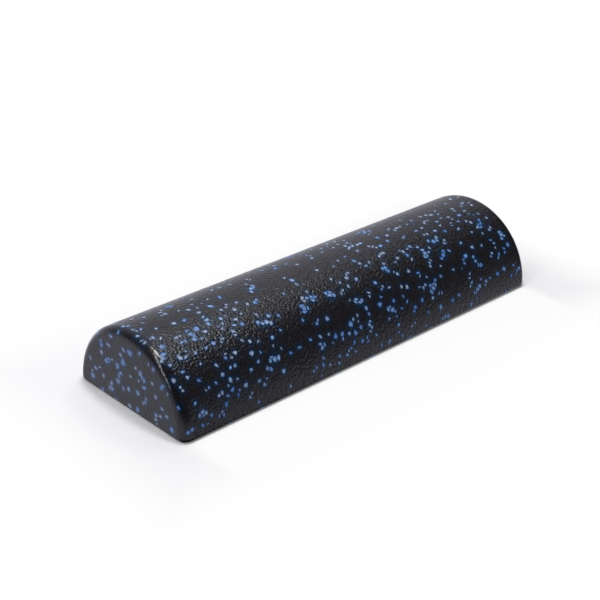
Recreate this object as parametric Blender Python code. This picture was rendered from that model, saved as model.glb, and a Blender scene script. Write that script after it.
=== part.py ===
"""Half round foam roller, steam moulded in one piece from expanded polypropylene beads.

The block is a half cylinder that lies on its flat face: length along X, width along Y, height along Z. Its
origin is the middle of the flat base. The moulding is black, and about one bead in twelve is blue. Beads have
no glue or fastener between them: steam swells each one until it fills its own pocket among its neighbours.
The black beads are one object here, moulded_body. The largest groups of blue beads are objects of their own,
each seated flush in its pocket, with as many small facets as beads pressed together have.
"""
import math
import random
from collections import namedtuple

import bmesh
import bpy
from mathutils import Matrix, Vector

# Block, in metres
LENGTH = 0.450
DOME_RADIUS = 0.075
BASE_EDGE_RADIUS = 0.004
END_RIM_RADIUS = 0.0085
END_FOOT_RADIUS = 0.002

# Beads, in metres
BEAD_WIDTH = 0.0054
BEAD_DEPTH = 0.0042
BEAD_CLEARANCE = 0.0003
CUT_OVERRUN = 0.0016

# Bead shape, as shares of a bead's half width, width or depth
SIZE_SHARES = (0.88, 1.14)
REACH_SHARES = (0.90, 1.08)
DEPTH_SHARES = (0.82, 1.0)
OVERRUN_SHARES = (0.8, 1.0)
SIDE_SWING_SHARE = 0.18
PITCH_SHARE = 0.77
ROW_SHARE = 0.66
WANDER_SHARE = 0.10
WAIST_DEPTH_SHARE = 0.55
TOE_SHARE = 0.58

# Facets
DOME_FACETS = 40
EDGE_FACETS = 3
RIM_FACETS = 5
BEAD_SIDES = 6
SHARP_ANGLE = math.radians(30)

# Groups of blue beads on the dome, from its front base edge over the crown to its back base edge. Each row
# gives the place along the block as a share of the length from its middle, the place round the dome as a share
# of its half turn, the slant in turns, and the beads in each of two rows.
DOME_GROUP_SHARES = (
    (-0.451, 0.098, 0.02, 2, 1),
    (-0.260, 0.170, 0.98, 3, 0),
    (-0.247, 0.310, 0.94, 3, 0),
    (-0.398, 0.374, 0.25, 3, 0),
    (-0.347, 0.407, 0.22, 3, 0),
    (-0.202, 0.475, 0.12, 3, 0),
    (-0.140, 0.297, 0.05, 2, 1),
    (-0.107, 0.323, 0.50, 3, 1),
    (-0.064, 0.314, 0.27, 3, 2),
    (-0.007, 0.233, 0.45, 3, 1),
    (-0.136, 0.136, 0.80, 2, 1),
    (-0.002, 0.140, 0.90, 2, 1),
    (0.069, 0.157, 0.93, 3, 0),
    (0.104, 0.318, 0.20, 2, 1),
    (0.220, 0.030, 0.98, 3, 0),
    (0.196, 0.174, 0.12, 3, 1),
    (0.227, 0.318, 0.09, 3, 1),
    (0.267, 0.280, 0.10, 3, 0),
    (0.269, 0.352, 0.95, 3, 0),
    (0.329, 0.085, 0.08, 3, 0),
    (0.349, 0.200, 0.27, 3, 0),
    (0.460, 0.260, 0.05, 2, 1),
    (0.424, 0.345, 0.12, 3, 0),
    (0.284, 0.492, 0.20, 3, 0),
)

# Groups of blue beads on the left end: the place across it as a share of the half width, from the front to
# the back, the height as a share of the block's height, the slant in turns, and the beads in each of two rows.
LEFT_END_GROUP_SHARES = (
    (0.41, 0.47, 0.12, 3, 0),
    (0.50, 0.66, 0.70, 2, 0),
    (0.15, 0.41, 0.17, 2, 0),
    (-0.29, 0.52, 0.90, 2, 0),
    (-0.63, 0.60, 0.18, 2, 0),
)

# Groups spread over the rest of the block: how many lie on each face, and the shares of it that they keep to
BACK_GROUPS = 14
BACK_ALONG_SHARE = 0.48
BACK_ROUND_SHARES = (0.54, 0.96)
RIGHT_END_GROUPS = 5
END_ACROSS_SHARE = 0.80
END_HEIGHT_SHARES = (0.14, 0.82)
BASE_GROUPS = 8
BASE_ALONG_SHARE = 0.48
BASE_ACROSS_SHARES = (0.30, 0.86)
ROW_CHOICES = ((3, 0), (2, 0), (2, 1), (2, 0), (3, 1))
STRATUM_SHARE = 0.5
GOLDEN_SHARE = (math.sqrt(5) - 1) / 2
SEED = 5

# A bead: its place on the surface, the turn and reach of each of its sides, its depth and its overrun
Bead = namedtuple("Bead", "place turns reaches depth over")

# Finish
BLACK = (0.012, 0.012, 0.014, 1.0)
BLUE = (0.018, 0.105, 0.480, 1.0)
BLACK_ROUGHNESS = 0.55
BLUE_ROUGHNESS = 0.50


def clear_scene():
    """Removes whatever the new file holds."""
    for item in list(bpy.data.objects):
        bpy.data.objects.remove(item, do_unlink=True)


def plastic(name, colour, roughness):
    """A plain moulded plastic."""
    material = bpy.data.materials.new(name)
    material.use_nodes = True
    shader = material.node_tree.nodes["Principled BSDF"]
    shader.inputs["Base Color"].default_value = colour
    shader.inputs["Roughness"].default_value = roughness
    shader.inputs["Metallic"].default_value = 0.0
    return material


def add_object(name, mesh, parent, collection=None):
    """Puts a mesh in the scene under the block's empty."""
    item = bpy.data.objects.new(name, mesh)
    (collection or bpy.context.scene.collection).objects.link(item)
    item.parent = parent
    return item


def as_guide(item):
    """Marks a cutter or a form that only shapes other pieces."""
    item.hide_render = True
    item.display_type = "WIRE"


def lofted_mesh(name, rings):
    """A closed skin over rings of as many points each, with a flat face on the first ring and on the last."""
    form = bmesh.new()
    loops = [[form.verts.new(point) for point in ring] for ring in rings]
    for low, high in zip(loops, loops[1:]):
        for k in range(len(low)):
            after = (k + 1) % len(low)
            form.faces.new((low[k], low[after], high[after], high[k]))
    form.faces.new(loops[0])
    form.faces.new(loops[-1])
    bmesh.ops.recalc_face_normals(form, faces=form.faces)
    mesh = bpy.data.meshes.new(name)
    form.to_mesh(mesh)
    form.free()
    return mesh


def arc(middle, radius, start, end, steps):
    """Points of an arc in the YZ plane, both ends included."""
    points = []
    for step in range(steps + 1):
        angle = start + (end - start) * step / steps
        points.append((middle[0] + radius * math.cos(angle), middle[1] + radius * math.sin(angle)))
    return points


def section(dome_inset, base_inset):
    """The half round outline in the YZ plane, drawn in from the dome and from the base by these amounts."""
    dome = DOME_RADIUS - dome_inset
    corner_z = base_inset + BASE_EDGE_RADIUS
    corner_y = math.sqrt((dome - BASE_EDGE_RADIUS) ** 2 - corner_z**2)
    lean = math.atan2(corner_z, corner_y)
    back_edge = arc((corner_y, corner_z), BASE_EDGE_RADIUS, -math.pi / 2, lean, EDGE_FACETS)
    crown = arc((0, 0), dome, lean, math.pi - lean, DOME_FACETS)
    front_edge = [(-y, z) for y, z in reversed(back_edge)]
    return back_edge + crown[1:-1] + front_edge


def quarter_inset(radius, away):
    """How far a rounded edge draws in at this distance from the face that it meets."""
    if away >= radius:
        return 0
    return radius - math.sqrt(radius**2 - (radius - away) ** 2)


def block_mesh(name):
    """The bare block: the half round section lofted along X, with a rounded rim and foot at each end."""
    steps = list(range(RIM_FACETS + 1))
    rings = []
    for side, order in ((-1, steps), (1, steps[::-1])):
        for step in order:
            away = END_RIM_RADIUS * (1 - math.cos(math.pi / 2 * step / RIM_FACETS))
            x = side * (LENGTH / 2 - away)
            outline = section(quarter_inset(END_RIM_RADIUS, away), quarter_inset(END_FOOT_RADIUS, away))
            rings.append([(x, y, z) for y, z in outline])
    mesh = lofted_mesh(name, rings)
    mesh.shade_smooth()
    mesh.set_sharp_from_angle(angle=SHARP_ANGLE)
    return mesh


def surface_frame(along, outward, place):
    """The matrix whose X lies along the surface, whose Z points out of it, and whose origin is on it."""
    around = outward.cross(along)
    axes = Matrix((along, around, outward)).transposed().to_4x4()
    return Matrix.Translation(place) @ axes


def dome_frame(along_share, round_share):
    """A place on the dome."""
    turn = math.pi * round_share
    outward = Vector((0, -math.cos(turn), math.sin(turn)))
    place = outward * DOME_RADIUS + Vector((along_share * LENGTH, 0, 0))
    return surface_frame(Vector((1, 0, 0)), outward, place)


def end_frame(side, across_share, height_share):
    """A place on the end face at -X or +X."""
    place = Vector((side * LENGTH / 2, across_share * DOME_RADIUS, height_share * DOME_RADIUS))
    return surface_frame(Vector((0, -side, 0)), Vector((side, 0, 0)), place)


def base_frame(along_share, across_share):
    """A place on the flat base."""
    place = Vector((along_share * LENGTH, across_share * DOME_RADIUS, 0))
    return surface_frame(Vector((1, 0, 0)), Vector((0, 0, -1)), place)


def draw_bead(rng, place):
    """One bead of chance size, with sides of chance turn and reach."""
    half = rng.uniform(*SIZE_SHARES) * BEAD_WIDTH / 2
    first = rng.random()
    turns = []
    reaches = []
    for side in range(BEAD_SIDES):
        swing = rng.uniform(-SIDE_SWING_SHARE, SIDE_SWING_SHARE)
        turns.append(math.tau * (first + side + swing) / BEAD_SIDES)
        reaches.append(rng.uniform(*REACH_SHARES) * half)
    depth = rng.uniform(*DEPTH_SHARES) * BEAD_DEPTH
    over = rng.uniform(*OVERRUN_SHARES) * CUT_OVERRUN
    return Bead(place, turns, reaches, depth, over)


def group_beads(rng, slant, rows):
    """The beads of one group, in one or two rows that run at this slant on the surface."""
    along = Vector((math.cos(math.tau * slant), math.sin(math.tau * slant)))
    aside = Vector((-along.y, along.x))
    beads = []
    for row, count in enumerate(rows):
        for k in range(count):
            step = (k - (count - 1) / 2) * PITCH_SHARE * BEAD_WIDTH
            shift = (row - (rows[1] > 0) / 2) * ROW_SHARE * BEAD_WIDTH
            wander = rng.uniform(-WANDER_SHARE, WANDER_SHARE) * BEAD_WIDTH
            beads.append(draw_bead(rng, along * step + aside * (shift + wander)))
    return beads


def bead_outline(bead, share, margin):
    """The corners of a bead's outline at this share of its reach, with each side this margin further out."""
    corners = []
    for k, turn in enumerate(bead.turns):
        after = (k + 1) % len(bead.turns)
        near = bead.reaches[k] * share + margin
        far = bead.reaches[after] * share + margin
        cross = math.sin(bead.turns[after] - turn)
        x = (near * math.sin(bead.turns[after]) - far * math.sin(turn)) / cross
        y = (far * math.cos(turn) - near * math.cos(bead.turns[after])) / cross
        corners.append((bead.place.x + x, bead.place.y + y))
    return corners


def bead_mesh(name, bead, margin):
    """One bead as a closed solid: a narrow toe, a waist, and straight walls up to over the surface."""
    levels = (
        (-bead.depth - margin, TOE_SHARE),
        (-bead.depth * WAIST_DEPTH_SHARE, 1),
        (bead.over, 1),
    )
    rings = []
    for z, share in levels:
        rings.append([(x, y, z) for x, y in bead_outline(bead, share, margin)])
    return lofted_mesh(name, rings)


def strata(rng, count):
    """Pairs of shares from 0 to 1: the first runs evenly through the count, and the second jumps about."""
    jump = rng.random()
    for k in range(count):
        jitter = rng.uniform(-STRATUM_SHARE, STRATUM_SHARE) / 2
        yield (k + 1 / 2 + jitter) / count, (jump + k * GOLDEN_SHARE) % 1


def between(limits, share):
    """The value at this share of the way from the first limit to the second."""
    return limits[0] + (limits[1] - limits[0]) * share


def back_frames(rng):
    """Places on the dome's back half."""
    for first, second in strata(rng, BACK_GROUPS):
        along = between((-BACK_ALONG_SHARE, BACK_ALONG_SHARE), first)
        yield dome_frame(along, between(BACK_ROUND_SHARES, second))


def right_end_frames(rng):
    """Places on the right end, inside its rim."""
    low, rim = END_HEIGHT_SHARES
    for first, second in strata(rng, RIGHT_END_GROUPS):
        across = between((-END_ACROSS_SHARE, END_ACROSS_SHARE), first)
        high = max(low, math.sqrt(rim**2 - across**2))
        yield end_frame(1, across, between((low, high), second))


def base_frames(rng):
    """Places on the flat base, in turn on each side of the bare strip along its middle."""
    for k, (first, second) in enumerate(strata(rng, BASE_GROUPS)):
        along = between((-BASE_ALONG_SHARE, BASE_ALONG_SHARE), first)
        across = between(BASE_ACROSS_SHARES, second) * (-1) ** k
        yield base_frame(along, across)


def place_groups():
    """Every group of blue beads: its matrix, the face it lies on and its beads."""
    rng = random.Random(SEED)
    placed = []
    for along, turn, slant, *rows in DOME_GROUP_SHARES:
        placed.append((dome_frame(along, turn), "dome", group_beads(rng, slant, rows)))
    for across, height, slant, *rows in LEFT_END_GROUP_SHARES:
        placed.append((end_frame(-1, across, height), "left_end", group_beads(rng, slant, rows)))
    for zone, frames in (("back", back_frames), ("right_end", right_end_frames), ("base", base_frames)):
        for k, frame in enumerate(list(frames(rng))):
            rows = ROW_CHOICES[k % len(ROW_CHOICES)]
            placed.append((frame, zone, group_beads(rng, rng.random(), rows)))
    return placed


def add_boolean(item, operation, operand):
    """An exact Boolean with an object or with a collection."""
    cut = item.modifiers.new(operation.title(), "BOOLEAN")
    cut.operation = operation
    cut.solver = "EXACT"
    if isinstance(operand, bpy.types.Collection):
        cut.operand_type = "COLLECTION"
        cut.collection = operand
    else:
        cut.object = operand


def add_group(name, frame, beads, block_form, parent, pockets, material):
    """One group of blue beads, fused and trimmed flush with the block, and the cutters of its pocket."""
    solid = add_object(name, bead_mesh(name, beads[0], 0), parent)
    solid.matrix_local = frame
    for k, bead in enumerate(beads[1:]):
        neighbour = add_object(f"{name}_bead_{k + 2}", bead_mesh(f"{name}_bead_{k + 2}", bead, 0), parent)
        neighbour.matrix_local = frame
        as_guide(neighbour)
        add_boolean(solid, "UNION", neighbour)
    add_boolean(solid, "INTERSECT", block_form)
    solid.data.materials.append(material)
    for k, bead in enumerate(beads):
        label = f"{name}_pocket_{k + 1}"
        pocket = add_object(label, bead_mesh(label, bead, BEAD_CLEARANCE), parent, pockets)
        pocket.matrix_local = frame
        as_guide(pocket)


def add_body(parent, pockets, material):
    """The black moulding with a pocket for each group of blue beads."""
    mesh = block_mesh("moulded_body")
    mesh.materials.append(material)
    body = add_object("moulded_body", mesh, parent)
    add_boolean(body, "DIFFERENCE", pockets)


def build():
    """Makes the roller."""
    clear_scene()
    roller = bpy.data.objects.new("half_round_roller", None)
    bpy.context.scene.collection.objects.link(roller)
    pockets = bpy.data.collections.new("bead_pockets")
    bpy.context.scene.collection.children.link(pockets)
    block_form = add_object("block_form", block_mesh("block_form"), roller)
    as_guide(block_form)
    blue = plastic("blue_beads", BLUE, BLUE_ROUGHNESS)
    numbers = {}
    for frame, zone, beads in place_groups():
        numbers[zone] = numbers.get(zone, 0) + 1
        name = f"blue_beads_{zone}_{numbers[zone]:02d}"
        add_group(name, frame, beads, block_form, roller, pockets, blue)
    add_body(roller, pockets, plastic("black_foam", BLACK, BLACK_ROUGHNESS))


build()
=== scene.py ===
"""Half round foam roller: the surfaces that show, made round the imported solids.

The black moulding is one closed skin with the beads' relief in it. Every blue bead is a closed body of its
own, a low pillow with a crisp rim. Lengths are in metres.
"""
import math
import random
from collections import namedtuple

import bmesh
import bpy
import numpy as np
from mathutils import Matrix, Vector, geometry, kdtree, noise
from mathutils.bvhtree import BVHTree


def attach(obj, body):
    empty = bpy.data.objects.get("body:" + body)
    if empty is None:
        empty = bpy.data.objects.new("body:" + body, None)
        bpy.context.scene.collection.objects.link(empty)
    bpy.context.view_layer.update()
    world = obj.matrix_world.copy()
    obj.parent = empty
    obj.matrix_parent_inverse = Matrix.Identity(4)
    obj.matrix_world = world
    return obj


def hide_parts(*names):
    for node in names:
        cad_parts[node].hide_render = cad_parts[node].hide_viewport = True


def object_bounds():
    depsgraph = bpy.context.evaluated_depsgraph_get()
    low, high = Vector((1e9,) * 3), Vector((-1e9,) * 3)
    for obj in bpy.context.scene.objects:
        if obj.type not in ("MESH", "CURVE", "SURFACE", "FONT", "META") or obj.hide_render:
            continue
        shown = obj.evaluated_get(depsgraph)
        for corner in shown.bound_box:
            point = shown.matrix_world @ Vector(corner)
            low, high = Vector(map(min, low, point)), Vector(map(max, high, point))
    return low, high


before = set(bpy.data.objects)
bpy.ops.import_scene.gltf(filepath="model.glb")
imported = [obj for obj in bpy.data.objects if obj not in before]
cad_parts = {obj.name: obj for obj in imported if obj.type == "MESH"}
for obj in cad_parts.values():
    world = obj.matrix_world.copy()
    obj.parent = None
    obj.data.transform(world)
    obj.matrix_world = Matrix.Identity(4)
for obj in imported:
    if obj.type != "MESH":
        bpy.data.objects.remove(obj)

CAD_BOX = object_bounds()
BODY = "root"
BLACK_NODE = "moulded_body"
BLUE_NODES = sorted(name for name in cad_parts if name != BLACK_NODE)
SEED = 11

# Block: its length and height come from the frame, its edges from the same radii as the solids
LENGTH = CAD_BOX[1].x - CAD_BOX[0].x
RADIUS = CAD_BOX[1].z - CAD_BOX[0].z
BASE_EDGE_RADIUS = 0.004
END_RIM_RADIUS = 0.0085
END_FOOT_RADIUS = 0.002

# Skin mesh: the steps between its points, the rings in a rounded edge, and how close points become one
STEP_ALONG = 0.00125
STEP_ROUND = 0.00125
STEP_END = 0.0020
STEP_BASE = 0.0023
RIM_STEPS = 10
EDGE_STEPS = 6
WELD = 0.00001
CDT_EPSILON = 0.0000001

# Points inside a flat face, in steps: how far chance shifts them, and how far from the border they stay
FLAT_SHIFT = 0.125
FLAT_CLEARANCE = 0.6

# Skin relief: how deep the beads' tops and the grooves between them lie below the solids' surface, the
# grain on them and a finer one, the least depth that is left, and how many beads a point is measured to
PILLOW_DEPTH = 0.00006
GROOVE_DEPTH = 0.00013
GROOVE_WIDTH = 0.0008
GRAIN_HEIGHT = 0.00003
GRAIN_SIZE = 0.0021
FINE_GRAIN = 2.3
LEAST_DEPTH_SHARE = 0.9
NEIGHBOURS = 5

# The share of that relief off the barrel, which ends where the skin faces further down than this
END_RELIEF = 0.12
BASE_FACING = -0.5

# Beads: the radius of a black bead, a blue one and one in a row as the mould wall cuts it, and how much
# larger the blue ones are on an end
BLACK_RADII = (0.0015, 0.0025)
BLUE_RADII = (0.0017, 0.0028)
GROUP_RADII = (0.0018, 0.0026)
END_BEAD_SHARE = 1.35

# Packing: how close two beads lie, and how much closer the seen ones, the cells that beads are kept in, how
# many places are tried for black beads, and the least weight of a face's corner in a place on it
PACK_SHARE = 0.82
SEEN_PACK_SHARE = 0.6
CELL_REACH = 0.0040
BLACK_DARTS = 90000
LEAST_MIX = 0.05

# Rows of beads: the step from one to the next as a share of a bead's width, and how far each second one is
# shifted aside as a share of that step
GROUP_PITCH_SHARE = 0.80
GROUP_BEND_SHARE = 0.25

# Groups laid by chance: how many, the tries for each, their numbers of beads with the share of each number,
# and the gap to other blue beads
SMALL_FLECKS = 800
FLECK_TRIES = 6
FLECK_SIZES = ((1, 0.85), (2, 0.12), (3, 0.03))
FLECK_GAP = 0.0012

# The share of them that is kept where seen groups lie too: the left end, and the dome up to this far round
CHANCE_SHARE = 0.52
SHOWN_UNTIL = 0.150

# Bead pillow, toe, rim, shoulder and crown: heights over the solids' surface, how far down the toe is, its
# width as a share of the rim's, the shoulder's step inwards and least share, and the shares of the crown
RIM_HEIGHT = -0.00004
SHOULDER_HEIGHT = -0.00001
CROWN_HEIGHT = 0.0
BEAD_DEPTH = 0.0010
TOE_SHARE = 0.8
SHOULDER_WIDTH = 0.00035
CROWN_SHARES = (0.66, 0.33)
LEAST_SHOULDER_SHARE = 0.35

# The fewest corners that an outline needs to become a bead, and the angle from which an edge looks crisp
FEWEST_CORNERS = 5
SHARP_ANGLE = math.radians(50)

# Painted highlight on each ring of a pillow from the toe up, none at the rim, and the share an end's beads
# get, less as painted shade
RING_HIGHLIGHTS = (0, 0.1, 0.45, 0.8, 1)
END_HIGHLIGHT_SHARE = 0.72

# Paleness: the reach of the palest and the bluest bead, how far chance swings it, how it rises with height
# above a share of the block's height as a painted sheen towards the crown, and what an end adds
PALE_REACHES = (0.0014, 0.0033)
PALE_SWING = 0.45
SHEEN_RISE = 1.1
SHEEN_HEIGHT_SHARE = 0.72
END_PALE = 0.50

# Stain: how far blue shows through the black foam from a blue bead's rim, and how much by a small bead
STAIN_REACH = 0.0027
STAIN_LEAST = 0.70

# Beads within a solid group: the area that each takes, the seam between two, how far one reaches, the tries
# for its middle and how far out they go, the least painted highlight, the group's and the bead's own share of
# its shade, its greatest paleness, and how far out in the group other beads are kept away
GROUP_BEAD_AREA = 0.000019
SEAM_WIDTH = 0.00014
GROUP_BEAD_REACH = 0.0028
SEED_TRIES = 24
SEED_SPREAD = 0.8
GROUP_HIGHLIGHT_LEAST = 0.25
GROUP_TONE_SHARES = (0.8, 0.2)
GROUP_PALE_MOST = 0.2
KEEP_OUT_SHARE = 0.55

# Directions: when a face of a solid group counts as its outer one, and when the skin counts as an end
OUTER_FACING = 0.8
END_FACING = 0.7

# The shortest side of the outline of a solid group and of a bead
GROUP_LEAST_SIDE = 0.0005
BEAD_LEAST_SIDE = 0.0002

# Bead outline: its sides, how far they swing and reach, how narrow it may be, and what is cut off corners
OUTLINE_SIDES = (4, 7)
OUTLINE_SWING_SHARE = 0.3
OUTLINE_REACHES = (0.85, 1.60)
NARROWEST_SHARE = 0.50
CORNER_SHARE = 0.14

# Where the finish of barrel and end fades: before and after the rim's start, and inwards from the end
BARREL_FADE = (0.002, 0.001)
END_FADE = (0.0015, 0.0005)

# Grain of both foams: the sizes and weights of its cells and their speckle, how round the cells are, the
# bump's depth on either foam, its share on the rims, and what the ends add to that share
GRAIN_CELL = 0.0024
GRAIN_SPECKLE = 0.0014
CELL_WEIGHT = -1.3
SPECKLE_WEIGHT = 0.8
CELL_SMOOTHNESS = 0.25
BLACK_BUMP = 0.00043
BLUE_BUMP = 0.0004
RIM_BUMP_SHARE = 0.15
END_BUMP_SHARE = 0.30

# Black foam: its darkest and lightest, the stain's colour, the weight of a bead's own shade, and the mottle
BLACK_DARK = (0.0025, 0.0015, 0.002, 1)
BLACK_LIGHT = (0.018, 0.015, 0.019, 1)
STAIN_COLOUR = (0.002, 0.018, 0.046, 1)
BLACK_TONE_SHARE = 0.2
MOTTLE_SCALE = 620.0
MOTTLE_SPAN = (0.35, 0.70)
MOTTLE_LEVELS = (0.0, 0.8)

# Black foam's roughness on the rims, and what the barrel, the ends and a slow cloudiness add
RIM_ROUGHNESS = 0.14
BARREL_ROUGHNESS = 0.12
END_ROUGHNESS = 0.32
CLOUD_ROUGHNESS = 0.06
CLOUD_SCALE = 90.0

# Blue foam: a bead's middle where it is blue and where it is pale, partly a painted sheen, the ring round
# that, the rim, and where from rim to middle the one turns into the other, a painted highlight lighter to the
# middle
BLUE_DARK = (0.022, 0.125, 0.520, 1)
BLUE_LIGHT = (0.370, 0.570, 0.770, 1)
PALE_SHEEN_DARK = (0.130, 0.170, 0.250, 1)
PALE_SHEEN_LIGHT = (0.640, 0.680, 0.720, 1)
RING_BLUE = (0.015, 0.105, 0.360, 1)
RING_PALE_SHEEN = (0.055, 0.100, 0.220, 1)
RIM_BLUE = (0.004, 0.026, 0.090, 1)
RIM_SPAN = (0.0, 0.55)
MIDDLE_SPAN = (0.42, 0.95)

# Blue foam's shade and roughness: the weight of a bead's own shade, and what a fine cloudiness gives
BLUE_TONE_SHARE = 0.5
FINE_CLOUD_SCALE = 600.0
FINE_CLOUD_SPAN = (0.35, 0.65)
FINE_CLOUD_LEVELS = (0.0, 0.5)
BLUE_ROUGH_SPAN = (0.3, 0.7)
BLUE_ROUGHNESS = (0.30, 0.45)

# Camera: its place seen from the block's middle, its roll, how far from that middle it aims, and its lens
CAMERA_AZIMUTH = math.radians(-44.878)
CAMERA_ELEVATION = math.radians(26.991)
CAMERA_DISTANCE = 1.2555
CAMERA_ROLL = math.radians(1.324)
AIM_ASIDE = -0.01826
AIM_UP = -0.00721
PICTURE_WIDTH = 600
FOCAL_PIXELS = 1321.6
SENSOR_WIDTH = 36
CLIP_NEAR = 0.01
CLIP_FAR = 50

# Surround: its radius and colour, and the way in which its sky turns from dark in front to pale behind
SURROUND_RADIUS = 4
SURROUND_COLOUR = (0.955, 0.945, 1.06, 1)
SKY_WAY = (-0.25, 1.0, 0.1)
SKY_SPAN = (-0.17, 0.43)
SKY_LEVELS = (0.09, 0.66)

# The rest of it: its sky darkens to the left, its ground to the front and close under the block
LEFT_SPAN = (-0.75, 0.15)
LEFT_LEVELS = (0.30, 1.0)
GROUND_SPAN = (-0.7, 0.6)
GROUND_LEVELS = (0.70, 1.22)
UNDER_SPAN = (-0.74, -0.50)
UNDER_LEVELS = (0.06, 1.0)
HORIZON = (-0.40, 0.10)

# Lamps: where each hangs, where it points, its width and length, and its power in watts
Lamp = namedtuple("Lamp", "name place target width length watts")
LAMPS = (
    Lamp("left_strip", (-0.90, -0.12, 1.08), (-0.15, 0, 0.05), 0.08, 2.3, 8),
    Lamp("ceiling_panel", (0.20, 0.02, 0.75), (-0.20, 0, 0.05), 0.10, 0.10, 0.4),
    Lamp("ceiling_lamp", (0.03, -0.07, 1.60), (0, 0, 0.05), 0.24, 0.50, 9.8),
)

# Floor: its radius, how far it lies below the block, and how it turns into plain white away from the block,
# with some emitted white already at the block as painted light in its shadow
FLOOR_RADIUS = 6
FLOOR_DROP = 0.0003
WHITE_SPAN = (0.015, 0.10)
WHITE_LEVELS = (0.12, 1.0)

# In front of the block it is this white, painted light emitted over its contact shadow, with a soft change
# along the front edge and beside the ends
FRONT_WHITE = 0.85
FRONT_SPAN = (-0.004, 0.004)
FRONT_ENDS_SPAN = (-0.012, 0.010)

# Blue beads that the photograph shows on the dome, besides those of the solids, read off it: the place
# along the block from its middle, the place round the dome from its front base edge, and for a row of beads
# their number and its slant in turns
DOME_BEADS = (
    (-0.218, 0.011, 2, 0), (-0.205, 0.012), (-0.187, 0.013), (-0.182, 0.014, 2, 0.25),
    (-0.162, 0.025, 2, 0.12), (-0.150, 0.018, 2, 0.10), (-0.154, 0.029), (-0.139, 0.027), (-0.143, 0.009),
    (-0.192, 0.039, 2, 0), (-0.171, 0.035), (-0.160, 0.037), (-0.144, 0.039), (-0.173, 0.045),
    (-0.163, 0.048), (-0.126, 0.033, 2, 0.90), (-0.111, 0.026), (-0.106, 0.045), (-0.113, 0.050),
    (-0.110, 0.057), (-0.134, 0.043), (-0.137, 0.052), (-0.125, 0.059), (-0.133, 0.062), (-0.152, 0.058),
    (-0.197, 0.049), (-0.215, 0.048, 2, 0.25), (-0.219, 0.057), (-0.206, 0.055), (-0.188, 0.061),
    (-0.181, 0.082), (-0.173, 0.081), (-0.212, 0.100, 2, 0), (-0.128, 0.103, 2, 0.10), (-0.136, 0.101),
    (-0.101, 0.095, 2, 0.05), (-0.155, 0.108), (-0.151, 0.115), (-0.183, 0.107), (-0.173, 0.106),
    (-0.181, 0.124, 2, 0), (-0.220, 0.110), (-0.216, 0.118, 2, 0.25), (-0.057, 0.054, 2, 0.10),
    (-0.046, 0.053), (-0.036, 0.033, 2, 0.20), (-0.049, 0.031), (-0.061, 0.041), (-0.051, 0.040),
    (-0.023, 0.040), (-0.021, 0.031), (-0.032, 0.017, 3, 0.10), (-0.024, 0.023), (-0.014, 0.021),
    (-0.065, 0.015), (-0.064, 0.022), (-0.012, 0.034), (0.002, 0.042), (0.001, 0.048),
    (0.012, 0.058, 2, 0.15), (0.034, 0.029), (0.036, 0.044), (0.043, 0.034), (0.024, 0.030),
    (0.059, 0.028, 2, 0.10), (0.058, 0.050), (0.052, 0.053), (0.030, 0.059, 2, 0.05), (0.038, 0.057),
    (0.053, 0.069), (0.003, 0.084, 3, 0.10), (-0.010, 0.080), (-0.015, 0.070, 2, 0.05), (0.009, 0.077),
    (0.036, 0.088), (0.030, 0.086), (0.055, 0.091, 3, 0.05), (0.068, 0.081), (0.037, 0.115, 3, 0.05),
    (0.080, 0.057, 2, 0.20), (0.085, 0.031), (0.100, 0.063, 3, 0.15), (0.110, 0.056),
    (0.162, 0.022, 2, 0.10), (0.156, 0.028), (0.141, 0.027, 2, 0.10), (0.181, 0.046, 2, 0.10),
    (0.190, 0.042, 2, 0.10), (0.201, 0.045, 2, 0.20), (0.133, 0.077, 2, 0.10), (0.212, 0.020, 3, 0.10),
    (0.161, 0.062), (0.174, 0.059), (0.191, 0.056), (0.138, 0.109, 3, 0.05), (0.125, 0.103), (0.165, 0.103),
    (0.096, 0.100, 2, 0.05), (0.096, 0.120, 2, 0.05), (-0.203, 0.073), (-0.194, 0.076),
    (-0.190, 0.084, 2, 0.95), (-0.187, 0.071), (-0.175, 0.072), (-0.157, 0.072, 2, 0.05), (-0.166, 0.073),
    (-0.151, 0.084, 2, 0.80), (-0.142, 0.074, 2, 0.20), (-0.137, 0.081), (-0.132, 0.086), (-0.130, 0.079),
    (-0.123, 0.089), (-0.125, 0.096), (-0.111, 0.082), (-0.101, 0.077), (-0.103, 0.070), (-0.110, 0.096),
    (-0.205, 0.097), (-0.210, 0.088), (-0.138, 0.093), (0.068, 0.082, 2, 0.25), (0.077, 0.104),
    (0.084, 0.111), (0.103, 0.117), (0.108, 0.117), (0.118, 0.116), (0.127, 0.116, 3, 0.20), (0.142, 0.121),
    (0.149, 0.119), (0.154, 0.116), (0.161, 0.113), (0.164, 0.120), (0.148, 0.103), (0.157, 0.106),
    (0.166, 0.099), (0.146, 0.097), (0.134, 0.093), (0.159, 0.093, 2, 0.15), (0.178, 0.090), (0.182, 0.086),
    (0.179, 0.100), (0.190, 0.097), (0.190, 0.103), (0.182, 0.113), (0.181, 0.108), (0.194, 0.111),
    (0.201, 0.115, 2, 0.05), (0.207, 0.112), (0.206, 0.107), (0.204, 0.084), (0.184, 0.078), (0.173, 0.076),
    (0.099, 0.083), (0.092, 0.087), (0.131, 0.079), (0.136, 0.078), (0.187, 0.126), (0.203, 0.133, 2, 0.10),
)

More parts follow.
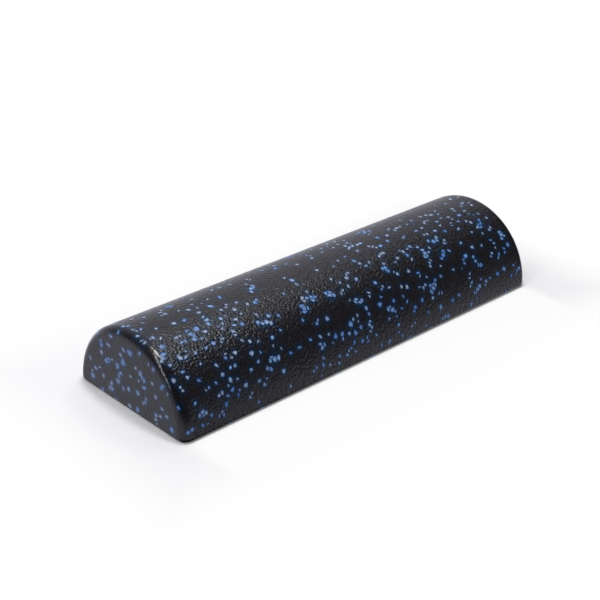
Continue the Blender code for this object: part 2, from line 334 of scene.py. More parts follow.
# The same on the left end: the place from its middle towards the back, the height, the number and the slant
LEFT_END_BEADS = (
    (0.023, 0.040), (-0.001, 0.006, 2, 0.10), (0.014, 0.071), (-0.037, 0.057, 2, 0.10), (-0.017, 0.063),
    (-0.029, 0.057), (-0.004, 0.058), (0.056, 0.028), (0.053, 0.016), (0.042, 0.024), (0.037, 0.018),
    (-0.045, 0.022), (-0.043, 0.014), (0.025, 0.016), (0.008, 0.018), (0.025, 0.054, 2, 0.10),
    (0.006, 0.057), (-0.011, 0.046), (-0.017, 0.044), (-0.033, 0.041), (0.007, 0.044), (0.015, 0.037),
    (-0.003, 0.035), (-0.012, 0.023), (-0.037, 0.030), (0.038, 0.041), (0.048, 0.021), (-0.022, 0.032),
)

# A bead: its centre, its radius, whether it is blue (None in a solid group), and its shade by chance
Bead = namedtuple("Bead", "place radius blue tone")


def arc(middle, radius, start, end, steps):
    """Points of an arc in the YZ plane, both ends included."""
    angles = [start + (end - start) * k / steps for k in range(steps + 1)]
    return [(middle[0] + radius * math.cos(a), middle[1] + radius * math.sin(a)) for a in angles]


def dome_outline(dome_inset, base_inset):
    """The outline in the YZ plane from the back bottom corner over the crown to the front one."""
    dome = RADIUS - dome_inset
    corner_z = base_inset + BASE_EDGE_RADIUS
    corner_y = math.sqrt((dome - BASE_EDGE_RADIUS) ** 2 - corner_z**2)
    lean = math.atan2(corner_z, corner_y)
    steps = round(math.pi * RADIUS / STEP_ROUND)
    back = arc((corner_y, corner_z), BASE_EDGE_RADIUS, -math.pi / 2, lean, EDGE_STEPS)
    crown = arc((0, 0), dome, lean, math.pi - lean, steps)
    return back + crown[1:-1] + [(-y, z) for y, z in reversed(back)]


def quarter_inset(radius, away):
    """How far a rounded edge draws in at this distance from the face that it meets."""
    if away >= radius:
        return 0
    return radius - math.sqrt(radius**2 - (radius - away) ** 2)


def rim_distances():
    """How far from the end's face the rim's rings lie."""
    quarter = math.pi / 2
    return [END_RIM_RADIUS * (1 - math.cos(quarter * k / RIM_STEPS)) for k in range(RIM_STEPS + 1)]


def ring_at(x, away):
    """One ring over the dome."""
    outline = dome_outline(quarter_inset(END_RIM_RADIUS, away), quarter_inset(END_FOOT_RADIUS, away))
    return [Vector((x, y, z)) for y, z in outline]


def straight(first, last, step):
    """Points on a straight line, both ends included."""
    count = max(1, round((last - first).length / step))
    return [first.lerp(last, k / count) for k in range(count + 1)]


def search_tree(points):
    """A tree that finds the nearest of these points."""
    tree = kdtree.KDTree(len(points))
    for k, point in enumerate(points):
        tree.insert(point, k)
    tree.balance()
    return tree


def mesh_from(form, name):
    """A mesh made from a bmesh, which is then freed."""
    mesh = bpy.data.meshes.new(name)
    form.to_mesh(mesh)
    form.free()
    return mesh


def add_object(name, data):
    """An object in the scene."""
    item = bpy.data.objects.new(name, data)
    bpy.context.scene.collection.objects.link(item)
    return item


def add_grid(form, rows):
    """Quads between rows of as many points each."""
    made = [[form.verts.new(point) for point in row] for row in rows]
    for low, high in zip(made, made[1:]):
        for k in range(len(low) - 1):
            form.faces.new((low[k], low[k + 1], high[k + 1], high[k]))


def add_flat(form, border, place, step):
    """Triangles over a flat face: its border and a pattern of points inside it, both given in the plane."""
    low = [min(p[k] for p in border) for k in range(2)]
    high = [max(p[k] for p in border) for k in range(2)]
    points = [Vector(p) for p in border]
    tree = search_tree([(p[0], p[1], 0) for p in border])
    row_height = step * math.sqrt(3) / 2
    rng = random.Random(SEED)
    for row in range(int((high[1] - low[1]) / row_height)):
        for column in range(int((high[0] - low[0]) / step) + 1):
            x = low[0] + (column + (row % 2) / 2) * step + rng.uniform(-step, step) * FLAT_SHIFT
            y = low[1] + (row + 1 / 2) * row_height + rng.uniform(-step, step) * FLAT_SHIFT
            if tree.find((x, y, 0))[2] > step * FLAT_CLEARANCE:
                points.append(Vector((x, y)))
    loop = list(range(len(border)))
    edges = [(k, (k + 1) % len(border)) for k in loop]
    made, _, faces, *_ = geometry.delaunay_2d_cdt(points, edges, [loop], 1, CDT_EPSILON)
    verts = [form.verts.new(place(p)) for p in made]
    for face in faces:
        form.faces.new([verts[k] for k in face])


def skin_mesh():
    """The smooth closed surface of the block."""
    away = rim_distances()
    half = LENGTH / 2
    straight_length = LENGTH - 2 * END_RIM_RADIUS
    count = round(straight_length / STEP_ALONG)
    between = [-straight_length / 2 + straight_length * k / count for k in range(1, count)]
    left = [ring_at(-half + a, a) for a in away]
    middle = [ring_at(x, END_RIM_RADIUS) for x in between]
    right = [ring_at(half - a, a) for a in reversed(away)]
    rings = left + middle + right
    form = bmesh.new()
    add_grid(form, rings)
    flat_from = next(k for k, a in enumerate(away) if a >= END_FOOT_RADIUS)
    for rim in (left, right[::-1]):
        add_grid(form, [straight(ring[0], ring[-1], STEP_BASE) for ring in rim[: flat_from + 1]])
        across = straight(rim[0][0], rim[0][-1], STEP_BASE)
        border = [(p.y, p.z) for p in rim[0]] + [(p.y, p.z) for p in reversed(across[1:-1])]
        add_flat(form, border, lambda p, x=rim[0][0].x: Vector((x, p.x, p.y)), STEP_END)
    flat_rings = rings[flat_from : len(rings) - flat_from]
    first = straight(flat_rings[0][0], flat_rings[0][-1], STEP_BASE)
    last = straight(flat_rings[-1][0], flat_rings[-1][-1], STEP_BASE)
    back = [ring[0] for ring in flat_rings]
    front = [ring[-1] for ring in flat_rings]
    border = first[:-1] + front[:-1] + last[:0:-1] + back[:0:-1]
    add_flat(form, [(p.x, p.y) for p in border], lambda p: Vector((p.x, p.y, 0)), STEP_BASE)
    bmesh.ops.remove_doubles(form, verts=form.verts, dist=WELD)
    bmesh.ops.recalc_face_normals(form, faces=form.faces)
    return mesh_from(form, "foam")


class Skin:
    """The smooth surface, to ask for the nearest point on it and the way out of it there."""

    def __init__(self, mesh):
        self.normals = [v.normal.copy() for v in mesh.vertices]
        self.faces = [tuple(p.vertices) for p in mesh.polygons]
        self.points = [v.co.copy() for v in mesh.vertices]
        self.tree = BVHTree.FromPolygons(self.points, self.faces)
        areas = np.array([p.area for p in mesh.polygons])
        self.shares = np.cumsum(areas) / areas.sum()

    def nearest(self, point):
        """The nearest point on the surface and the smooth normal there."""
        place, _, face, _ = self.tree.find_nearest(point)
        corners = self.faces[face]
        weights = [1 / ((self.points[k] - place).length + WELD) for k in corners]
        normal = sum((self.normals[k] * w for k, w in zip(corners, weights)), Vector())
        return place, normal.normalized()

    def scatter(self, rng, count):
        """Points spread by chance, as many for each patch of area."""
        found = np.searchsorted(self.shares, rng.random(count))
        mixes = rng.random((count, 4)) + LEAST_MIX
        for face, mix in zip(found, mixes):
            corners = self.faces[face]
            total = sum(mix[: len(corners)])
            yield sum((self.points[k] * (m / total) for k, m in zip(corners, mix)), Vector())


class Packing:
    """Beads laid on the skin, none closer to another than beads pressed together lie."""

    def __init__(self):
        self.beads = []
        self.cells = {}

    def key(self, place):
        """The cell that a place is in."""
        return tuple(int(math.floor(c / CELL_REACH)) for c in place)

    def near(self, place):
        """The beads in the cells round a place."""
        x, y, z = self.key(place)
        for i in (x - 1, x, x + 1):
            for j in (y - 1, y, y + 1):
                for k in (z - 1, z, z + 1):
                    yield from self.cells.get((i, j, k), ())

    def free(self, place, radius, gap=0):
        """Whether a bead of this radius has room here, with this gap besides to the blue ones."""
        for index in self.near(place):
            other = self.beads[index]
            least = PACK_SHARE * (radius + other.radius) + (gap if other.blue else 0)
            if (other.place - place).length < least:
                return False
        return True

    def add(self, place, radius, blue, tone):
        """Lays one bead."""
        self.cells.setdefault(self.key(place), []).append(len(self.beads))
        self.beads.append(Bead(place, radius, blue, tone))


def tangent_frame(place, normal, slant=0.0):
    """Two directions along the surface: the first lies along the block, or level on an end, then turned."""
    along = Vector((1, 0, 0)) if abs(normal.x) < END_FACING else Vector((0, -1, 0))
    along = (along - normal * along.dot(normal)).normalized()
    aside = normal.cross(along)
    turn = math.tau * slant
    return along * math.cos(turn) + aside * math.sin(turn), aside * math.cos(turn) - along * math.sin(turn)


def middle_of(outline):
    """The mean of an outline's points."""
    return sum(outline, Vector()) / len(outline)


def reach_of(outline, centre):
    """The mean distance of an outline's points from its middle."""
    return sum((p - centre).length for p in outline) / len(outline)


def largeness(reach):
    """0 for a bead of the palest reach, 1 for one of the bluest."""
    return (reach - PALE_REACHES[0]) / (PALE_REACHES[1] - PALE_REACHES[0])


def at_end(place):
    """Whether a place is on one of the flat ends."""
    return abs(place.x) > LENGTH / 2 - END_FOOT_RADIUS


def zone_of(place):
    """Which face of the block a place is on."""
    if at_end(place):
        return "left_end" if place.x < 0 else "right_end"
    if place.z < BASE_EDGE_RADIUS / 2:
        return "base"
    return "front" if place.y < 0 else "back"


def dome_place(along, round_dome):
    """The point on the dome at this distance along the block and round from its front base edge."""
    turn = round_dome / RADIUS
    return Vector((along, -RADIUS * math.cos(turn), RADIUS * math.sin(turn)))


def shown(place):
    """Whether the photograph shows this place: on the left end, or the dome to a line past the crown."""
    zone = zone_of(place)
    return zone in ("front", "left_end") or zone == "back" and place.y < dome_place(0, SHOWN_UNTIL).y


def cad_outline(skin, node_name):
    """The outline of one solid group of beads on the surface, from its node's mesh."""
    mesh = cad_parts[node_name].data
    spots = {}
    uses = {}
    for polygon in mesh.polygons:
        place, normal = skin.nearest(polygon.center)
        if polygon.normal.dot(normal) > OUTER_FACING and (place - polygon.center).length < GROOVE_DEPTH:
            keys = []
            for index in polygon.vertices:
                corner = mesh.vertices[index].co
                keys.append(tuple(round(c / WELD) for c in corner))
                spots[keys[-1]] = corner.copy()
            for pair in zip(keys, keys[1:] + keys[:1]):
                edge = frozenset(pair)
                uses[edge] = uses.get(edge, 0) + 1
    links = {}
    for edge, times in uses.items():
        if times == 1 and len(edge) == 2:
            a, b = edge
            links.setdefault(a, []).append(b)
            links.setdefault(b, []).append(a)
    chain = [min(links)]
    while True:
        ahead = [key for key in links[chain[-1]] if key not in chain]
        if not ahead:
            break
        chain.append(ahead[0])
    return [spots[key] for key in chain]


def clip(polygon, normal, reach):
    """The part of a polygon in the plane on the near side of a line: at most this far along its normal."""
    kept = []
    for k, point in enumerate(polygon):
        after = polygon[(k + 1) % len(polygon)]
        here = point.dot(normal) - reach
        there = after.dot(normal) - reach
        if here <= 0:
            kept.append(point)
        if here * there < 0:
            kept.append(point.lerp(after, here / (here - there)))
    return kept


def loose_outline(rng, radius):
    """An irregular polygon in the plane, as wide as the bead may grow, often narrower one way."""
    sides = rng.randint(*OUTLINE_SIDES)
    first = rng.random()
    narrow = rng.uniform(NARROWEST_SHARE, 1)
    lie = rng.uniform(0, math.pi)
    polygon = []
    for k in range(sides):
        turn = math.tau * (first + k + rng.uniform(-OUTLINE_SWING_SHARE, OUTLINE_SWING_SHARE)) / sides
        reach = rng.uniform(*OUTLINE_REACHES) * radius
        x, y = reach * math.cos(turn), reach * narrow * math.sin(turn)
        polygon.append(Vector((x * math.cos(lie) - y * math.sin(lie), x * math.sin(lie) + y * math.cos(lie))))
    return polygon


def split_outline(rng, outline):
    """The outlines of the single beads in a group: each takes the part of the group nearest to its middle."""
    centre = middle_of(outline)
    normal = Vector()
    for here, after in zip(outline, outline[1:] + outline[:1]):
        normal += (here - centre).cross(after - centre)
    area = normal.length / 2
    along, aside = tangent_frame(centre, normal.normalized())
    flat = [Vector(((p - centre).dot(along), (p - centre).dot(aside))) for p in outline]
    seeds = []
    for _ in range(max(2, round(area / GROUP_BEAD_AREA))):
        tries = [rng.choice(flat) * (SEED_SPREAD * math.sqrt(rng.random())) for _ in range(SEED_TRIES)]
        seeds.append(max(tries, key=lambda t: min(((t - s).length for s in seeds), default=-t.length)))
    for seed in seeds:
        polygon = flat
        for other in seeds:
            if other is not seed:
                away = (other - seed).normalized()
                polygon = clip(polygon, away, (other + seed).dot(away) / 2 - SEAM_WIDTH / 2)
        edge = loose_outline(rng, GROUP_BEAD_REACH)
        for here, after in zip(edge, edge[1:] + edge[:1]):
            side = after - here
            out = Vector((side.y, -side.x)).normalized()
            polygon = clip(polygon, out, (here + seed).dot(out))
        if len(polygon) >= 3:
            yield [centre + along * p.x + aside * p.y for p in polygon]


def cell_outline(skin, rng, packing, bead):
    """A bead's outline on the surface: its own side of the faces that it shares with its neighbours."""
    place, normal = skin.nearest(bead.place)
    along, aside = tangent_frame(place, normal)
    polygon = loose_outline(rng, bead.radius)
    for index in packing.near(bead.place):
        other = packing.beads[index]
        away = other.place - bead.place
        flat = Vector((away.dot(along), away.dot(aside)))
        distance = flat.length
        if other is bead or distance < WELD:
            continue
        reach = (distance**2 + bead.radius**2 - other.radius**2) / (2 * distance)
        polygon = clip(polygon, flat / distance, reach)
        if len(polygon) < 3:
            return None
    return [place + along * p.x + aside * p.y for p in polygon]


def rounded(outline, least):
    """An outline with its corners cut once, and without points closer together than this."""
    cut = []
    for k, point in enumerate(outline):
        after = outline[(k + 1) % len(outline)]
        cut.append(point.lerp(after, CORNER_SHARE))
        cut.append(point.lerp(after, 1 - CORNER_SHARE))
    kept = []
    for point in cut:
        if not kept or (point - kept[-1]).length > least:
            kept.append(point)
    return kept if (kept[0] - kept[-1]).length > least else kept[:-1]


def group_places(skin, centre, count, slant, radii):
    """The centres of a short row of beads on the surface."""
    place, normal = skin.nearest(centre)
    along, aside = tangent_frame(place, normal, slant)
    pitch = GROUP_PITCH_SHARE * sum(radii)
    found = []
    for k in range(count):
        shift = along * ((k - (count - 1) / 2) * pitch)
        bend = aside * ((k % 2) * pitch * GROUP_BEND_SHARE)
        found.append(skin.nearest(place + shift + bend)[0])
    return found


def filled_by(outline):
    """A few discs that keep other beads out of an outline."""
    centre = middle_of(outline)
    radius = sum(BLACK_RADII) / 2
    for point in outline:
        yield centre.lerp(point, KEEP_OUT_SHARE), radius
    yield centre, radius


def blue_sizes(centre, count):
    """The radii of blue beads, alone or in a group, and how much larger they are here."""
    return GROUP_RADII if count > 1 else BLUE_RADII, END_BEAD_SHARE if at_end(centre) else 1


def lay_seen(skin, packing, rng):
    """The blue beads that the photograph shows, besides those of the solids."""
    seen = [(dome_place(x, s), row) for x, s, *row in DOME_BEADS]
    seen += [(Vector((-LENGTH / 2, y, z)), row) for y, z, *row in LEFT_END_BEADS]
    for centre, row in seen:
        count, slant = row or (1, 0)
        radii, growth = blue_sizes(centre, count)
        tone = rng.random()
        for place in group_places(skin, centre, count, slant, radii):
            radius = rng.uniform(*radii) * growth
            if packing.free(place, radius * SEEN_PACK_SHARE):
                packing.add(place, radius, True, tone)


def lay_by_chance(skin, packing, rng, dice):
    """The other small blue beads, by chance, and fewer of them where the seen ones lie."""
    sizes, shares = zip(*FLECK_SIZES)
    laid = 0
    for centre in skin.scatter(dice, SMALL_FLECKS * FLECK_TRIES):
        if laid >= SMALL_FLECKS:
            break
        if shown(centre) and rng.random() > CHANCE_SHARE:
            continue
        count = rng.choices(sizes, shares)[0]
        radii, growth = blue_sizes(centre, count)
        tone = rng.random()
        slant = rng.random()
        places = group_places(skin, centre, count, slant, radii)
        spots = [(place, rng.uniform(*radii) * growth) for place in places]
        if all(packing.free(place, radius, FLECK_GAP) for place, radius in spots):
            for place, radius in spots:
                packing.add(place, radius, True, tone)
            laid += 1


def lay_beads(skin, solid_groups):
    """Every bead on the surface but those of the solids, whose places are kept clear."""
    rng = random.Random(SEED)
    dice = np.random.default_rng(SEED)
    packing = Packing()
    for outline in solid_groups:
        for place, radius in filled_by(outline):
            packing.add(place, radius, None, 0)
    lay_seen(skin, packing, rng)
    lay_by_chance(skin, packing, rng, dice)
    for place in skin.scatter(dice, BLACK_DARTS):
        radius = rng.uniform(*BLACK_RADII)
        if packing.free(place, radius):
            packing.add(place, radius, False, rng.random())
    return packing


def add_pillow(form, skin, outline, tone, pale, highlight_range, layers):
    """One closed bead body: a toe below the surface, walls up to a crisp rim, and a low crown."""
    count = len(outline)
    if count < FEWEST_CORNERS:
        return
    centre = middle_of(outline)
    shoulder = max(LEAST_SHOULDER_SHARE, 1 - SHOULDER_WIDTH / reach_of(outline, centre))
    heights = (-BEAD_DEPTH, RIM_HEIGHT, SHOULDER_HEIGHT, CROWN_HEIGHT, CROWN_HEIGHT)
    shares = (TOE_SHARE, 1, shoulder, shoulder * CROWN_SHARES[0], shoulder * CROWN_SHARES[1])
    rings = []
    # Each ring carries its share of the painted highlight, none at the rim and all in the middle
    for height, share, painted_highlight in zip(heights, shares, RING_HIGHLIGHTS):
        ring = []
        for point in outline:
            place, normal = skin.nearest(centre.lerp(point, share))
            vert = form.verts.new(place + normal * height)
            for layer, value in zip(layers, (tone, pale, highlight_range[0] + (highlight_range[1] - highlight_range[0]) * painted_highlight)):
                vert[layer] = value
            ring.append(vert)
        rings.append(ring)
    for low, high in zip(rings, rings[1:]):
        for k in range(count):
            after = (k + 1) % count
            form.faces.new((low[k], low[after], high[after], high[k]))
    form.faces.new(rings[0][::-1])
    form.faces.new(rings[-1])


def paleness(rng, outline):
    """How greyish a single bead is: more so for a small one, on an end, and towards the crown, as a painted
    sheen.
    """
    centre = middle_of(outline)
    pale = 1 - largeness(reach_of(outline, centre)) + rng.uniform(-PALE_SWING, PALE_SWING)
    if at_end(centre):
        pale += END_PALE
    else:
        # Painted sheen: paler the higher the bead sits
        pale += SHEEN_RISE * (centre.z / RADIUS - SHEEN_HEIGHT_SHARE)
    return min(1, max(0, pale))


def bead_object(name, skin, beads, material, least_highlight=0):
    """A piece of closed beads. Each outline comes with its shade and its paleness."""
    # The beads' middles get a painted highlight, less of it on the ends as painted shade
    highlight_range = (least_highlight, END_HIGHLIGHT_SHARE if "end" in name else 1)
    form = bmesh.new()
    layers = [form.verts.layers.float.new(layer) for layer in ("tone", "pale", "painted_highlight")]
    for outline, tone, pale in beads:
        add_pillow(form, skin, outline, tone, pale, highlight_range, layers)
    bmesh.ops.recalc_face_normals(form, faces=form.faces)
    mesh = mesh_from(form, name)
    mesh.shade_smooth()
    mesh.set_sharp_from_angle(angle=SHARP_ANGLE)
    mesh.materials.append(material)
    piece = add_object(name, mesh)
    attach(piece, BODY)
    return piece


def add_values(mesh, name, values):
    """Gives each point of a mesh a number that the materials can read."""
    mesh.attributes.new(name, "FLOAT", "POINT").data.foreach_set("value", values)


def stain(mesh, outlines):
    """How much blue shows through at each point of the skin: most at the rim of a large blue bead."""
    spots = []
    for outline in outlines:
        centre = middle_of(outline)
        reach = reach_of(outline, centre)
        strength = min(1, STAIN_LEAST + (1 - STAIN_LEAST) * max(0, largeness(reach)))
        spots.append((centre, reach, strength))
    tree = search_tree([spot[0] for spot in spots])
    values = np.zeros(len(mesh.vertices), np.float32)
    widest = max(spot[1] for spot in spots) + 2 * STAIN_REACH
    for v in mesh.vertices:
        for _, index, distance in tree.find_range(v.co, widest):
            _, reach, strength = spots[index]
            beyond = max(0, distance - reach) / STAIN_REACH
            values[v.index] = max(values[v.index], strength * math.exp(-(beyond**2)))
    add_values(mesh, "stain", values)


def relieve(mesh, packing):
    """Presses the beads' relief into the skin, and gives each point its bead's chance shade."""
    tree = search_tree([bead.place for bead in packing.beads])
    flat_until = LENGTH / 2 - END_RIM_RADIUS
    tones = np.zeros(len(mesh.vertices), np.float32)
    moved = np.zeros(len(mesh.vertices) * 3, np.float32)
    for v in mesh.vertices:
        cells = []
        for _, index, distance in tree.find_n(v.co, NEIGHBOURS):
            cells.append((distance**2 - packing.beads[index].radius ** 2, index))
        cells.sort()
        (near, first), (far, second) = cells[:2]
        apart = (packing.beads[first].place - packing.beads[second].place).length
        border = (far - near) / (2 * apart) if apart > WELD else GROOVE_WIDTH
        groove = math.exp(-((border / GROOVE_WIDTH) ** 2))
        grain = noise.noise(v.co / GRAIN_SIZE) + noise.noise(v.co / GRAIN_SIZE * FINE_GRAIN) / 2
        share = 1 if abs(v.co.x) < flat_until and v.normal.z > BASE_FACING else END_RELIEF
        depth = PILLOW_DEPTH + (GROOVE_DEPTH - PILLOW_DEPTH) * groove * share
        depth = max(PILLOW_DEPTH * LEAST_DEPTH_SHARE, depth - grain * GRAIN_HEIGHT * share)
        moved[v.index * 3 : v.index * 3 + 3] = v.co - v.normal * depth
        tones[v.index] = packing.beads[first].tone
    mesh.vertices.foreach_set("co", moved)
    add_values(mesh, "tone", tones)
    mesh.update()


def feed(tree, value, socket):
    """Links a socket to an input, or sets the input to a plain value."""
    if isinstance(value, bpy.types.NodeSocket):
        tree.links.new(value, socket)
    else:
        socket.default_value = value


def node(tree, kind, **values):
    """A shader node with its properties and its inputs set."""
    made = tree.nodes.new("ShaderNode" + kind)
    for key, value in values.items():
        if hasattr(made, key):
            setattr(made, key, value)
        else:
            feed(tree, value, made.inputs[key])
    return made


def maths(tree, operation, first, second=None):
    """A Math node; its inputs are sockets or numbers."""
    made = node(tree, "Math", operation=operation)
    feed(tree, first, made.inputs[0])
    if second is not None:
        feed(tree, second, made.inputs[1])
    return made.outputs[0]


def span(tree, value, low, high, to_low, to_high, smooth=True):
    """A Map Range node."""
    made = node(tree, "MapRange", interpolation_type="SMOOTHSTEP" if smooth else "LINEAR")
    for name, number in zip(("From Min", "From Max", "To Min", "To Max"), (low, high, to_low, to_high)):
        made.inputs[name].default_value = number
    feed(tree, value, made.inputs["Value"])
    return made.outputs["Result"]


def mixed(tree, factor, first, second, kind="RGBA"):
    """A Mix node between two colours, or two numbers where kind says so."""
    return node(tree, "Mix", data_type=kind, Factor=factor, A=first, B=second).outputs["Result"]


def mixed_shaders(tree, factor, first, second):
    """A Mix Shader node."""
    made = node(tree, "MixShader")
    for value, socket in zip((factor, first, second), made.inputs):
        tree.links.new(value, socket)
    return made.outputs[0]


def attribute(tree, name):
    """A number that the mesh carries at each point."""
    return node(tree, "Attribute", attribute_name=name).outputs["Fac"]


def new_material(name):
    """A material with its Principled shader."""
    material = bpy.data.materials.new(name)
    material.use_nodes = True
    return material, material.node_tree, material.node_tree.nodes["Principled BSDF"]


def stage_material(name):
    """A material with nothing but an output, for what the block stands in."""
    material, tree, _ = new_material(name)
    tree.nodes.clear()
    return material, tree, node(tree, "OutputMaterial").inputs["Surface"]


def position_parts(tree):
    """The object's coordinates: the whole vector, and X, Y and Z."""
    place = node(tree, "TexCoord").outputs["Object"]
    return place, node(tree, "SeparateXYZ", Vector=place).outputs


def grain_height(tree, place):
    """A leathery grain: small cells with rounded tops, broken by finer noise."""
    cells = node(tree, "TexVoronoi", feature="SMOOTH_F1", Scale=1 / GRAIN_CELL, Vector=place)
    cells.inputs["Smoothness"].default_value = CELL_SMOOTHNESS
    speckle = node(tree, "TexNoise", Scale=1 / GRAIN_SPECKLE, Detail=3.0, Roughness=0.6, Vector=place)
    reach = cells.outputs["Distance"]
    tops = maths(tree, "MULTIPLY", maths(tree, "MULTIPLY", reach, reach), CELL_WEIGHT)
    return maths(tree, "ADD", tops, maths(tree, "MULTIPLY", speckle.outputs["Fac"], SPECKLE_WEIGHT))


def on_barrel(tree, along):
    """1 on the barrel, falling to 0 where the rim starts."""
    start = LENGTH / 2 - END_RIM_RADIUS
    away = maths(tree, "ABSOLUTE", along)
    return span(tree, away, start - BARREL_FADE[0], start + BARREL_FADE[1], 1.0, 0.0)


def on_end(tree, along):
    """1 on the flat ends, 0 elsewhere."""
    half = LENGTH / 2
    away = maths(tree, "ABSOLUTE", along)
    return span(tree, away, half - END_FADE[0], half - END_FADE[1], 0.0, 1.0)


def rim_to_barrel(tree, barrel):
    """The bump's share: little on the rims, all of it on the barrel."""
    return span(tree, barrel, 0.0, 1.0, RIM_BUMP_SHARE, 1.0, smooth=False)


def finish_shader(tree, shader, place, colour, roughness, strength, depth):
    """Gives a shader its colour, its roughness and the grain as a bump."""
    tree.links.new(colour, shader.inputs["Base Color"])
    tree.links.new(roughness, shader.inputs["Roughness"])
    bump = node(tree, "Bump", Distance=depth, Strength=strength, Height=grain_height(tree, place))
    tree.links.new(bump.outputs["Normal"], shader.inputs["Normal"])


def black_material():
    """Black bead foam: grained on the barrel, smooth on the rims, matt on the ends."""
    material, tree, shader = new_material("black_foam")
    place, parts = position_parts(tree)
    barrel = on_barrel(tree, parts[0])
    end = on_end(tree, parts[0])
    mottle = node(tree, "TexNoise", Scale=MOTTLE_SCALE, Detail=2.0, Vector=place).outputs["Fac"]
    cloud = node(tree, "TexNoise", Scale=CLOUD_SCALE, Detail=4.0, Vector=place).outputs["Fac"]
    own = maths(tree, "MULTIPLY", attribute(tree, "tone"), BLACK_TONE_SHARE)
    shade = maths(tree, "ADD", own, span(tree, mottle, *MOTTLE_SPAN, *MOTTLE_LEVELS))
    colour = mixed(tree, attribute(tree, "stain"), mixed(tree, shade, BLACK_DARK, BLACK_LIGHT), STAIN_COLOUR)
    more = maths(tree, "MULTIPLY", barrel, BARREL_ROUGHNESS)
    more = maths(tree, "ADD", more, maths(tree, "MULTIPLY", end, END_ROUGHNESS))
    rough = maths(tree, "ADD", more, RIM_ROUGHNESS)
    rough = maths(tree, "ADD", rough, maths(tree, "MULTIPLY", cloud, CLOUD_ROUGHNESS))
    strength = maths(tree, "ADD", rim_to_barrel(tree, barrel), maths(tree, "MULTIPLY", end, END_BUMP_SHARE))
    finish_shader(tree, shader, place, colour, rough, strength, BLACK_BUMP)
    return material


def blue_material():
    """Blue bead foam: each bead a little lighter or darker, paler towards the crown as a painted sheen, with
    a painted highlight in its middle, and with the same grain.
    """
    material, tree, shader = new_material("blue_beads")
    place, parts = position_parts(tree)
    pale = attribute(tree, "pale")
    painted_highlight = attribute(tree, "painted_highlight")
    cloud = node(tree, "TexNoise", Scale=FINE_CLOUD_SCALE, Detail=3.0, Vector=place).outputs["Fac"]
    own = maths(tree, "MULTIPLY", attribute(tree, "tone"), BLUE_TONE_SHARE)
    shade = maths(tree, "ADD", own, span(tree, cloud, *FINE_CLOUD_SPAN, *FINE_CLOUD_LEVELS))
    blue = mixed(tree, shade, BLUE_DARK, BLUE_LIGHT)
    pale_sheen = mixed(tree, shade, PALE_SHEEN_DARK, PALE_SHEEN_LIGHT)
    ring = mixed(tree, pale, RING_BLUE, RING_PALE_SHEEN)
    # Painted highlight: dark at the rim, lighter towards the middle
    edge = mixed(tree, span(tree, painted_highlight, *RIM_SPAN, 0.0, 1.0), RIM_BLUE, ring)
    colour = mixed(tree, span(tree, painted_highlight, *MIDDLE_SPAN, 0.0, 1.0), edge, mixed(tree, pale, blue, pale_sheen))
    rough = span(tree, cloud, *BLUE_ROUGH_SPAN, *BLUE_ROUGHNESS)
    strength = rim_to_barrel(tree, on_barrel(tree, parts[0]))
    finish_shader(tree, shader, place, colour, rough, strength, BLUE_BUMP)
    return material


def add_camera():
    """The photograph's camera."""
    data = bpy.data.cameras.new("camera")
    data.sensor_width = SENSOR_WIDTH
    data.lens = FOCAL_PIXELS / PICTURE_WIDTH * SENSOR_WIDTH
    data.clip_start, data.clip_end = CLIP_NEAR, CLIP_FAR
    camera = add_object("camera", data)
    a, e = CAMERA_AZIMUTH, CAMERA_ELEVATION
    back = Vector((math.sin(a) * math.cos(e), -math.cos(a) * math.cos(e), math.sin(e)))
    right = Vector((math.cos(a), math.sin(a), 0))
    middle = Vector((0, 0, RADIUS / 2))
    eye = middle + back * CAMERA_DISTANCE
    aim = middle + right * AIM_ASIDE + back.cross(right) * AIM_UP
    turn = (eye - aim).to_track_quat("Z", "Y").to_matrix() @ Matrix.Rotation(CAMERA_ROLL, 3, "Z")
    camera.matrix_world = Matrix.Translation(eye) @ turn.to_4x4()
    bpy.context.scene.camera = camera


def add_world():
    """A white studio."""
    world = bpy.data.worlds.new("studio")
    world.use_nodes = True
    background = world.node_tree.nodes["Background"]
    background.inputs["Color"].default_value = (1, 1, 1, 1)
    background.inputs["Strength"].default_value = 1
    bpy.context.scene.world = world


def add_surround():
    """What the block mirrors: a studio, dark in front and pale behind and above, over a grey table."""
    form = bmesh.new()
    bmesh.ops.create_uvsphere(form, u_segments=48, v_segments=24, radius=SURROUND_RADIUS)
    surround = add_object("surround", mesh_from(form, "surround"))
    material, tree, surface = stage_material("surround")
    parts = [maths(tree, "DIVIDE", part, SURROUND_RADIUS) for part in position_parts(tree)[1]]
    shares = [maths(tree, "MULTIPLY", part, share) for part, share in zip(parts, SKY_WAY)]
    depth = maths(tree, "ADD", maths(tree, "ADD", shares[0], shares[1]), shares[2])
    left = span(tree, parts[0], *LEFT_SPAN, *LEFT_LEVELS)
    sky = maths(tree, "MULTIPLY", span(tree, depth, *SKY_SPAN, *SKY_LEVELS), left)
    under = span(tree, parts[2], *UNDER_SPAN, *UNDER_LEVELS)
    ground = maths(tree, "MULTIPLY", span(tree, parts[1], *GROUND_SPAN, *GROUND_LEVELS), under)
    level = mixed(tree, span(tree, parts[2], *HORIZON, 0.0, 1.0), ground, sky, kind="FLOAT")
    tree.links.new(node(tree, "Emission", Color=SURROUND_COLOUR, Strength=level).outputs[0], surface)
    surround.data.materials.append(material)
    surround.visible_camera = False


def add_lamp(lamp):
    """A soft panel that faces the block."""
    data = bpy.data.lights.new(lamp.name, "AREA")
    data.shape = "RECTANGLE"
    data.size, data.size_y = lamp.width, lamp.length
    data.energy = lamp.watts
    light = add_object(lamp.name, data)
    light.location = lamp.place
    light.rotation_mode = "QUATERNION"
    light.rotation_quaternion = (Vector(lamp.target) - Vector(lamp.place)).to_track_quat("-Z", "Y")


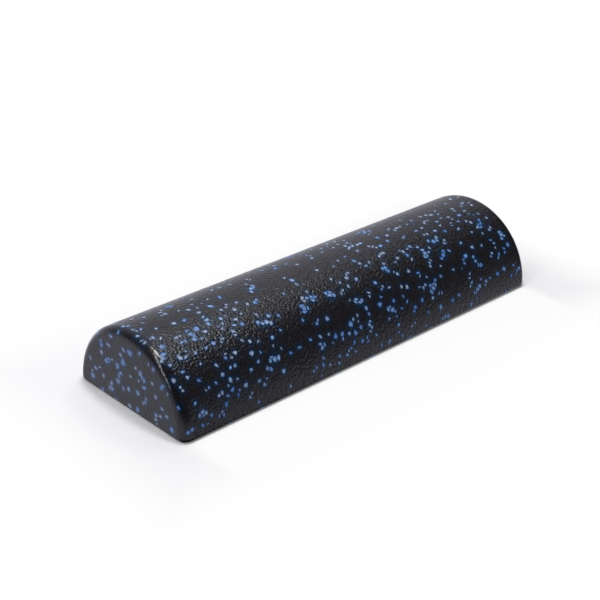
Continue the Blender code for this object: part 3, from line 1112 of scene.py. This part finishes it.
def add_floor():
    """A white floor that takes the block's shadow, and is clear from below."""
    form = bmesh.new()
    bmesh.ops.create_circle(form, cap_ends=True, segments=64, radius=FLOOR_RADIUS)
    floor = add_object("floor", mesh_from(form, "floor"))
    floor.location.z = -FLOOR_DROP
    material, tree, surface = stage_material("floor")
    x, y, _ = position_parts(tree)[1]
    past_end = maths(tree, "SUBTRACT", maths(tree, "ABSOLUTE", x), LENGTH / 2)
    past_side = maths(tree, "SUBTRACT", maths(tree, "ABSOLUTE", y), RADIUS)
    # Painted light: some emitted white at the block lightens its shadow, and in front it covers the contact
    # shadow
    away = span(tree, maths(tree, "MAXIMUM", past_end, past_side), *WHITE_SPAN, *WHITE_LEVELS)
    front = span(tree, y, FRONT_SPAN[0] - RADIUS, FRONT_SPAN[1] - RADIUS, FRONT_WHITE, 0.0)
    front = maths(tree, "MULTIPLY", front, span(tree, past_end, *FRONT_ENDS_SPAN, 1.0, 0.0))
    paper = node(tree, "BsdfDiffuse", Color=(1, 1, 1, 1)).outputs[0]
    white = node(tree, "Emission").outputs[0]
    above = mixed_shaders(tree, maths(tree, "MAXIMUM", away, front), paper, white)
    below = node(tree, "NewGeometry").outputs["Backfacing"]
    clear = node(tree, "BsdfTransparent").outputs[0]
    tree.links.new(mixed_shaders(tree, below, above, clear), surface)
    floor.data.materials.append(material)
    for way in ("visible_diffuse", "visible_glossy", "visible_transmission", "visible_shadow"):
        setattr(floor, way, False)


def add_studio():
    """The camera, the light and the floor."""
    add_camera()
    add_world()
    add_surround()
    for lamp in LAMPS:
        add_lamp(lamp)
    add_floor()


def small_beads(skin, packing):
    """The outlines of the small blue beads with their shade and paleness, by the face of the block."""
    zones = {}
    rng = random.Random(SEED)
    for bead in packing.beads:
        outline = cell_outline(skin, rng, packing, bead) if bead.blue else None
        if outline:
            outline = rounded(outline, BEAD_LEAST_SIDE)
            zones.setdefault(zone_of(bead.place), []).append((outline, bead.tone, paleness(rng, outline)))
    return zones


def add_foam(mesh):
    """The black moulding."""
    mesh.shade_smooth()
    mesh.materials.append(black_material())
    foam = add_object("foam", mesh)
    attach(foam, BODY)
    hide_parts(BLACK_NODE)


def add_groups(skin, outlines, blue):
    """The groups of blue beads that the solids have, each as its single beads."""
    rng = random.Random(SEED)
    for name, outline in outlines.items():
        tone = GROUP_TONE_SHARES[0] * rng.random()
        beads = []
        for part in split_outline(rng, outline):
            part = rounded(part, BEAD_LEAST_SIDE)
            beads.append((part, tone + GROUP_TONE_SHARES[1] * rng.random(), GROUP_PALE_MOST * rng.random()))
        piece = bead_object("fine_" + name, skin, beads, blue, GROUP_HIGHLIGHT_LEAST)
        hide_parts(name)


def build():
    """Makes the studio, the skin and the beads."""
    add_studio()
    mesh = skin_mesh()
    skin = Skin(mesh)
    outlines = {name: rounded(cad_outline(skin, name), GROUP_LEAST_SIDE) for name in BLUE_NODES}
    packing = lay_beads(skin, outlines.values())
    zones = small_beads(skin, packing)
    stain(mesh, [bead[0] for found in zones.values() for bead in found] + list(outlines.values()))
    relieve(mesh, packing)
    add_foam(mesh)
    blue = blue_material()
    add_groups(skin, outlines, blue)
    for zone, found in sorted(zones.items()):
        bead_object("small_blue_beads_" + zone, skin, found, blue)
    print("beads", len(packing.beads), {zone: len(found) for zone, found in zones.items()})


build()
bpy.context.scene.view_settings.view_transform = "Standard"
